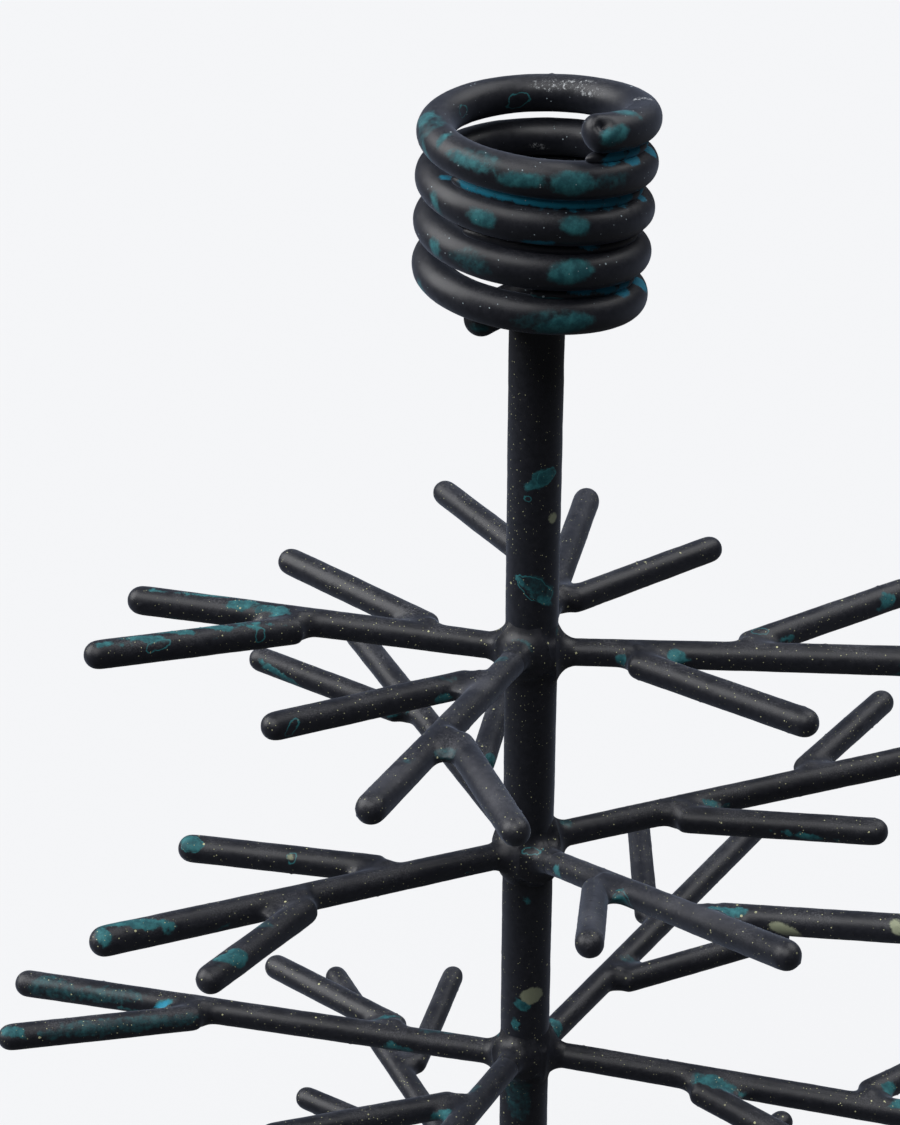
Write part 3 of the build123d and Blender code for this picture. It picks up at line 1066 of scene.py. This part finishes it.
@dataclass
class CandleCoil(Piece):
    """The rod wound left-handed round the candle, its lower end bent in as the candle's floor."""

    wire: float = 5.4 * MM
    radius: float = 14.2 * MM
    pitch: float = 6.45 * MM
    turns: float = 4.0
    top_turn: float = 58.0
    bend_radius: float = 6.48 * MM
    floor_heading: float = 230.0
    floor_offset: float = 1.8 * MM
    floor_length: float = 14.3 * MM
    floor_dip: float = 5.0
    lean: float = 2.4
    foot: Vector = Vector((-1.2 * MM, 0.0, 303.9 * MM))
    segments: int = 48
    step: float = 1.8
    dome_steps: int = 12
    dimple: tuple[float, float] = (606, 122)
    dimple_radius: float = 1.05 * MM
    dimple_depth: float = 1.25 * MM
    pools: tuple[GroovePool, ...] = (
        GroovePool(5, 82),
        GroovePool(380, 484),
        GroovePool(590, 690),
        GroovePool(728, 853, 0.98 * MM),
        GroovePool(1090, 1134, 1.05 * MM),
    )

    def pour_pool(self, bm: bmesh.types.BMesh, pool: GroovePool) -> None:
        """Fills a stretch of the groove between two turns.

        Args:
            bm: the coil's mesh.
            pool: the stretch.
        """
        lift = self.pitch * (pool.start / 360 + 0.5)
        place = Matrix.Rotation(-math.radians(pool.start), 4, "Z") @ Matrix.Translation((self.radius, 0, lift))
        circle = bmesh.ops.create_circle(bm, segments=16, radius=pool.radius,
                                         matrix=place @ Matrix.Rotation(math.pi / 2, 4, "X"))["verts"]
        ring = circle + list({edge for vert in circle for edge in vert.link_edges})
        stretch = pool.end - pool.start
        steps = round(stretch / self.step)
        last = bmesh.ops.spin(bm, geom=ring, axis=(0, 0, 1), angle=-math.radians(stretch), steps=steps,
                              dvec=(0, 0, self.pitch * stretch / 360 / steps))["geom_last"]
        for end, turn, way in ((ring, pool.start, 1), (last, pool.end, -1)):
            outward = Matrix.Rotation(-math.radians(turn), 3, "Z") @ Vector((0, way, 0))
            edges = [item for item in end if isinstance(item, bmesh.types.BMEdge)]
            domed(bm, edges, outward, pool.radius, 3.0, 6)

    def ring_at(self, bm: bmesh.types.BMesh, heading: float) -> list:
        """Starts the rod with a ring across the helix.

        Args:
            bm: the mesh.
            heading: where on the helix, in degrees from above.

        Returns:
            The ring's vertices and edges.
        """
        slope = math.atan(self.pitch / (2 * math.pi * self.radius))
        place = Matrix.Rotation(math.radians(heading), 4, "Z") @ Matrix.Translation((self.radius, 0, 0))
        across = Matrix.Rotation(math.pi / 2 + slope, 4, "X")
        circle = bmesh.ops.create_circle(bm, segments=self.segments, radius=self.wire / 2,
                                         matrix=place @ across)["verts"]
        return circle + list({edge for vert in circle for edge in vert.link_edges})

    def shape(self) -> bpy.types.Object:
        """Winds the coil up from its bend, then draws the bend and the floor rod from the same ring.

        Returns:
            The object.
        """
        bm = bmesh.new()
        inset = (self.bend_radius - self.floor_offset) / (self.radius - self.bend_radius)
        heading = self.floor_heading - 180 - math.degrees(math.asin(inset))
        ring = self.ring_at(bm, heading)
        winding = self.turns * 360 + self.top_turn + heading
        steps = round(winding / self.step)
        top = bmesh.ops.spin(bm, geom=ring, axis=(0, 0, 1), angle=-math.radians(winding), steps=steps,
                             dvec=(0, 0, self.pitch * winding / 360 / steps))["geom_last"]
        centre = Matrix.Rotation(math.radians(heading), 3, "Z") @ Vector((self.radius - self.bend_radius, 0, 0))
        sweep = self.floor_heading - heading - 90
        dip = math.tan(math.radians(self.floor_dip))
        bend_steps = round(sweep / self.step / 2)
        drop = self.bend_radius * math.radians(sweep) * dip
        bend = bmesh.ops.spin(bm, geom=ring, cent=centre, axis=(0, 0, 1), angle=math.radians(sweep),
                              steps=bend_steps, dvec=(0, 0, -drop / bend_steps))["geom_last"]
        way = Matrix.Rotation(math.radians(self.floor_heading), 3, "Z") @ Vector((1, 0, -dip)).normalized()
        end = bmesh.ops.spin(bm, geom=bend, axis=(0, 0, 1), angle=0.0, steps=32,
                             dvec=way * (self.floor_length / 32))["geom_last"]
        top_way = Matrix.Rotation(math.radians(-self.turns * 360 - self.top_turn), 3, "Z") @ Vector((0, -1, 0.072))
        for last, outward, flat in ((top, top_way.normalized(), 0.86), (end, way, 0.96)):
            edges = [item for item in last if isinstance(item, bmesh.types.BMEdge)]
            domed(bm, edges, outward, self.wire / 2, flat, self.dome_steps)
        bmesh.ops.translate(bm, verts=bm.verts, vec=(0, 0, -self.pitch * heading / 360))
        for pool in self.pools:
            self.pour_pool(bm, pool)
        bmesh.ops.rotate(bm, verts=bm.verts, cent=(0, 0, 0), matrix=Matrix.Rotation(math.radians(self.lean), 3, "Y"))
        bmesh.ops.translate(bm, verts=bm.verts, vec=self.foot)
        bmesh.ops.recalc_face_normals(bm, faces=bm.faces)
        piece = mesh_object(self.name, bm)
        hand_finish(piece, nubs=40, seed=7)
        self.press_dimple(piece)
        return piece

    def press_dimple(self, piece: bpy.types.Object) -> None:
        """Presses the small hollow into the top end.

        Args:
            piece: the coil.
        """
        points, normals = points_of(piece)
        centre = Photograph().nearest(points, *self.dimple)
        gap = np.linalg.norm(points - centre, axis=1) / self.dimple_radius
        sunk = self.dimple_depth * np.exp(-gap * gap)
        piece.data.vertices.foreach_set("co", (points - normals * sunk[:, None]).ravel())
        piece.data.update()


@dataclass
class CoilWeld(Piece):
    """The weld that holds the coil's floor rod on the trunk's top."""

    voxel: float = 0.2 * MM
    flare: float = 0.2 * MM
    passes: int = 3

    def shape(self) -> bpy.types.Object:
        """Draws a skin over the weld.

        Returns:
            The object.
        """
        piece = skinned(self.name, merged_copy(self.nodes[0]), self.voxel, self.flare, self.passes)
        hand_finish(piece, swell=0.03 * MM)
        return piece


@dataclass
class FootPlate(Piece):
    """The round plate that the tree stands on."""

    rim: float = 1.5 * MM
    under_rim: float = 0.5 * MM
    rings: int = 90
    steps: int = 288

    def shape(self) -> bpy.types.Object:
        """Turns the plate's half profile about the trunk.

        Returns:
            The object.
        """
        low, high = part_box(self.nodes[0])
        bm = bmesh.new()
        start = bm.verts.new((high.x - self.rim, 0, high.z))
        corner = bmesh.ops.spin(bm, geom=[start], cent=(high.x - self.rim, 0, high.z - self.rim),
                                axis=(0, 1, 0), angle=math.pi / 2, steps=6)["geom_last"]
        tip = [item for item in corner if isinstance(item, bmesh.types.BMVert)]
        for place in ((high.x, low.z + self.under_rim), (high.x - self.under_rim, low.z), (0, low.z)):
            made = bmesh.ops.extrude_vert_indiv(bm, verts=tip)["verts"]
            made[0].co = (place[0], 0, place[1])
            tip = made
        bmesh.ops.spin(bm, geom=[start], axis=(0, 0, 1), angle=0.0, steps=self.rings,
                       dvec=(-(high.x - self.rim) / self.rings, 0, 0))
        profile = bm.verts[:] + bm.edges[:]
        bmesh.ops.spin(bm, geom=profile, axis=(0, 0, 1), angle=math.tau, steps=self.steps, use_merge=True)
        bmesh.ops.remove_doubles(bm, verts=bm.verts, dist=0.005 * MM)
        bmesh.ops.recalc_face_normals(bm, faces=bm.faces)
        piece = mesh_object(self.name, bm)
        hand_finish(piece, nubs=60, seed=11)
        return piece


@dataclass
class FootWeld(Piece):
    """The hollow fillet weld between the trunk and the plate."""

    hollow_share: float = 0.34
    steps: int = 160
    rows: int = 14

    def shape(self) -> bpy.types.Object:
        """Turns the weld's hollow face about the trunk.

        Returns:
            The object.
        """
        low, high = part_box(self.nodes[0])
        leg = high.z - low.z
        inner = high.x - leg
        hollow = leg * self.hollow_share
        centre = (leg * leg - 2 * hollow * hollow) / (2 * leg - 4 * hollow)
        sweep = 2 * (math.radians(45) - math.atan2(centre - leg, centre))
        bm = bmesh.new()
        start = bm.verts.new((high.x, 0, low.z))
        middle = Vector((inner + centre, 0, low.z + centre))
        last = bmesh.ops.spin(bm, geom=[start], cent=middle, axis=(0, 1, 0), angle=sweep,
                              steps=self.rows)["geom_last"]
        tip = [item for item in last if isinstance(item, bmesh.types.BMVert)]
        for place in ((inner - leg / 4, high.z), (inner - leg / 4, low.z)):
            made = bmesh.ops.extrude_vert_indiv(bm, verts=tip)["verts"]
            made[0].co = (place[0], 0, place[1])
            tip = made
        bm.edges.new((tip[0], start))
        profile = bm.verts[:] + bm.edges[:]
        bmesh.ops.spin(bm, geom=profile, axis=(0, 0, 1), angle=math.tau, steps=self.steps, use_merge=True)
        bmesh.ops.recalc_face_normals(bm, faces=bm.faces)
        piece = mesh_object(self.name, bm)
        hand_finish(piece, nubs=8, seed=13)
        return piece


@dataclass
class Weathering:
    """Paints the patina marks, and the dust marks that carry painted sheen, on the finished pieces as vertex
    attributes.
    """

    photograph: Photograph
    pieces: list[bpy.types.Object]
    surfaces: dict = field(default_factory=dict)

    def survey(self) -> None:
        """Reads the pieces' points and starts every mark's field far outside."""
        for piece in self.pieces:
            points, normals = points_of(piece)
            fields = {kind: np.full(len(points), FAR_OUTSIDE) for kind in MarkKind}
            self.surfaces[piece.name] = (points, normals, fields)

    def stamp(self, kind: MarkKind, point: Vector, normal: Vector, along: Vector, length: float,
              width: float) -> None:
        """Lays one oval mark on every surface near a point.

        Args:
            kind: what it looks like.
            point: its middle.
            normal: the surface's normal there.
            along: direction of its length.
            length: its length in metres.
            width: its width in metres.
        """
        axis = np.array((along - normal * along.dot(normal)).normalized())
        for points, normals, fields in self.surfaces.values():
            gap = points - np.array(point)
            near = np.abs(gap).max(axis=1) < max(length, width) / 2 + 3 * MM
            if not near.any():
                continue
            near &= normals @ np.array(normal) > -0.35
            run = gap[near] @ axis
            side = np.einsum("ij,ij->i", gap[near], gap[near]) - run * run
            reach = np.sqrt((run / (length / 2)) ** 2 + side / (width / 2) ** 2)
            depth = (1 - reach) * min(length, width) / 2 / MM
            fields[kind][near] = np.maximum(fields[kind][near], np.maximum(depth, FAR_OUTSIDE))

    def paint(self, marks: tuple[Mark, ...]) -> None:
        """Lays marks where the photograph shows them.

        Args:
            marks: the marks.
        """
        scene = bpy.context.scene
        bpy.context.view_layer.update()
        depsgraph = bpy.context.evaluated_depsgraph_get()
        view = self.photograph
        for mark in marks:
            hit, point, normal, _, piece, _ = scene.ray_cast(depsgraph, view.eye, view.ray(mark.across, mark.down))
            if not hit or piece.name not in self.surfaces:
                log.warning("no piece at pixel %d, %d", mark.across, mark.down)
                continue
            scale = (point - view.eye).dot(view.forward) / view.focal
            lean = math.radians(mark.lean)
            along = view.right * math.cos(lean) + view.up * math.sin(lean)
            self.stamp(mark.kind, point, normal, along, mark.length * scale, mark.width * scale)

    def scatter(self, name: str, seed: int, films: int) -> None:
        """Strews like marks over the sides of a piece that the photograph doesn't show.

        Args:
            name: the piece's name.
            seed: seed of the places.
            films: number of film patches.
        """
        chance = random.Random(seed)
        points, normals, _ = self.surfaces[name]
        hidden = np.flatnonzero(~self.photograph.sees(points, normals))
        if not len(hidden):
            return
        kinds = (FILM, FILM, FILM, HAZE, HAZE, RIM)
        for _ in range(films):
            index = int(hidden[chance.randrange(len(hidden))])
            turn = Vector((chance.uniform(-1, 1), chance.uniform(-1, 1), chance.uniform(-0.4, 0.4)))
            kind = chance.choice(kinds)
            length = chance.uniform(2.5, 8.0) * MM
            width = min(length, chance.uniform(1.6, 3.4) * MM)
            self.stamp(kind, Vector(points[index]), Vector(normals[index]), turn, length, width)

    def store(self) -> None:
        """Writes the fields to the meshes."""
        for piece in self.pieces:
            fields = self.surfaces[piece.name][2]
            for kind, values in fields.items():
                attribute = piece.data.attributes.new(kind.value, "FLOAT", "POINT")
                attribute.data.foreach_set("value", values.astype(np.float32))


@dataclass(frozen=True)
class Softlight:
    """A far, wide lamp: the direction it shines from, its strength and its spread in degrees."""

    name: str
    source: Vector
    strength: float
    spread: float

    def hang(self) -> bpy.types.Object:
        """Makes the lamp.

        Returns:
            The lamp object.
        """
        data = bpy.data.lights.new(self.name, "SUN")
        data.energy = self.strength
        data.angle = math.radians(self.spread)
        lamp = bpy.data.objects.new(self.name, data)
        lamp.rotation_euler = self.source.to_track_quat("Z", "Y").to_euler()
        bpy.context.scene.collection.objects.link(lamp)
        return lamp


@dataclass
class Studio:
    """A plain pale floor and soft light from above, stronger on the left."""

    pale: tuple[float, float, float] = (0.905, 0.913, 0.930)
    floor_size: float = 4.0
    floor_glow: float = 0.771
    floor_tint: tuple[float, float, float] = (0.05, 0.0503, 0.0512)
    shadow_tint: tuple[float, float, float] = (0.14, 0.1408, 0.1434)
    fill: tuple[float, float, float] = (0.020, 0.021, 0.026)
    lamps: tuple[Softlight, ...] = (
        Softlight("left_softlight", Vector((-0.82, 0.12, 0.56)), 3.3, 52.0),
        Softlight("right_softlight", Vector((0.52, 0.30, 0.80)), 1.5, 46.0),
        Softlight("front_softlight", Vector((-0.18, -0.42, 0.89)), 1.9, 46.0),
    )

    def floor(self) -> bpy.types.Object:
        """Lays the floor, which keeps the holder's shadow.

        Returns:
            The floor.
        """
        bm = bmesh.new()
        bmesh.ops.create_grid(bm, x_segments=2, y_segments=2, size=self.floor_size)
        floor = mesh_object("studio_floor", bm)
        material = bpy.data.materials.new("studio_floor")
        bench = NodeBench(material)
        matt = bench.node("ShaderNodeBsdfDiffuse")
        seen = bench.node("ShaderNodeLightPath").outputs["Is Camera Ray"]
        bench.feed(matt.inputs["Color"], bench.blend(seen, self.floor_tint, self.shadow_tint))
        glow = bench.node("ShaderNodeEmission")
        bench.feed(glow.inputs["Color"], self.pale)
        bench.feed(glow.inputs["Strength"], bench.sum(seen, self.floor_glow, "MULTIPLY"))
        both = bench.node("ShaderNodeAddShader")
        bench.feed(both.inputs[0], matt.outputs[0])
        bench.feed(both.inputs[1], glow.outputs[0])
        bench.feed(bench.node("ShaderNodeOutputMaterial").inputs["Surface"], both.outputs[0])
        material.cycles.emission_sampling = "NONE"
        floor.data.materials.append(material)
        return floor

    def light(self) -> None:
        """Hangs the lamps and sets the world, pale to the eye and a dim fill to the holder."""
        for lamp in self.lamps:
            lamp.hang()
        world = bpy.data.worlds.new("studio_world")
        bench = NodeBench(world)
        background = bench.node("ShaderNodeBackground")
        seen = bench.node("ShaderNodeLightPath").outputs["Is Camera Ray"]
        bench.feed(background.inputs["Color"], bench.blend(seen, self.fill, self.pale))
        bench.feed(bench.node("ShaderNodeOutputWorld").inputs["Surface"], background.outputs[0])
        bpy.context.scene.world = world


def main() -> None:
    """Builds the camera, the pieces and the studio, then weathers the pieces."""
    logging.basicConfig(level=logging.INFO, format="%(name)s: %(message)s")
    photograph = Photograph()
    photograph.camera()
    coats = {
        "rod_coat": PatinaCoat("rod_coat").material(),
        "coil_coat": PatinaCoat("coil_coat", speck=(0.34, 0.42, 0.46), speck_share=0.16,
                                dust_and_sheen_share=0.22, lobed=1.3, soft=0.40).material(),
        # A small dust-and-sheen share keeps the painted sheen low on the collars' shoulders.
        "weld_coat": PatinaCoat("weld_coat", speck_share=0.95, dust_and_sheen_share=0.12, sheen=0.12).material(),
        "foot_coat": PatinaCoat("foot_coat", dust_and_sheen_share=0.52, satin=0.46).material(),
    }
    makers: list[Piece] = [
        CandleCoil("wound_candle_coil", ("candle_coil",), "coil_coat"),
        CoilWeld("coil_seat_weld", ("coil_weld",), "weld_coat"),
        Trunk("upright_trunk", ("trunk",), "rod_coat"),
        FootPlate("round_foot_plate", ("foot_plate",), "foot_coat"),
        FootWeld("foot_fillet_weld", ("foot_weld",), "weld_coat"),
    ]
    for tier in TIERS:
        makers.append(RootCollar.of(tier))
        makers.extend(Arm.of(tier, side) for side in Arm.SIDES)
    pieces = [maker.make(coats) for maker in makers]
    weathering = Weathering(photograph, pieces)
    weathering.survey()
    for marks in (COIL_MARKS, TRUNK_MARKS, UPPER_MARKS, MIDDLE_MARKS, LOWER_MARKS):
        weathering.paint(marks)
    for index, piece in enumerate(pieces):
        weathering.scatter(piece.name, 100 + index, 7)
    weathering.store()
    studio = Studio()
    studio.floor()
    studio.light()
    bpy.context.scene.view_settings.view_transform = "Standard"


if __name__ == "__main__":
    main()
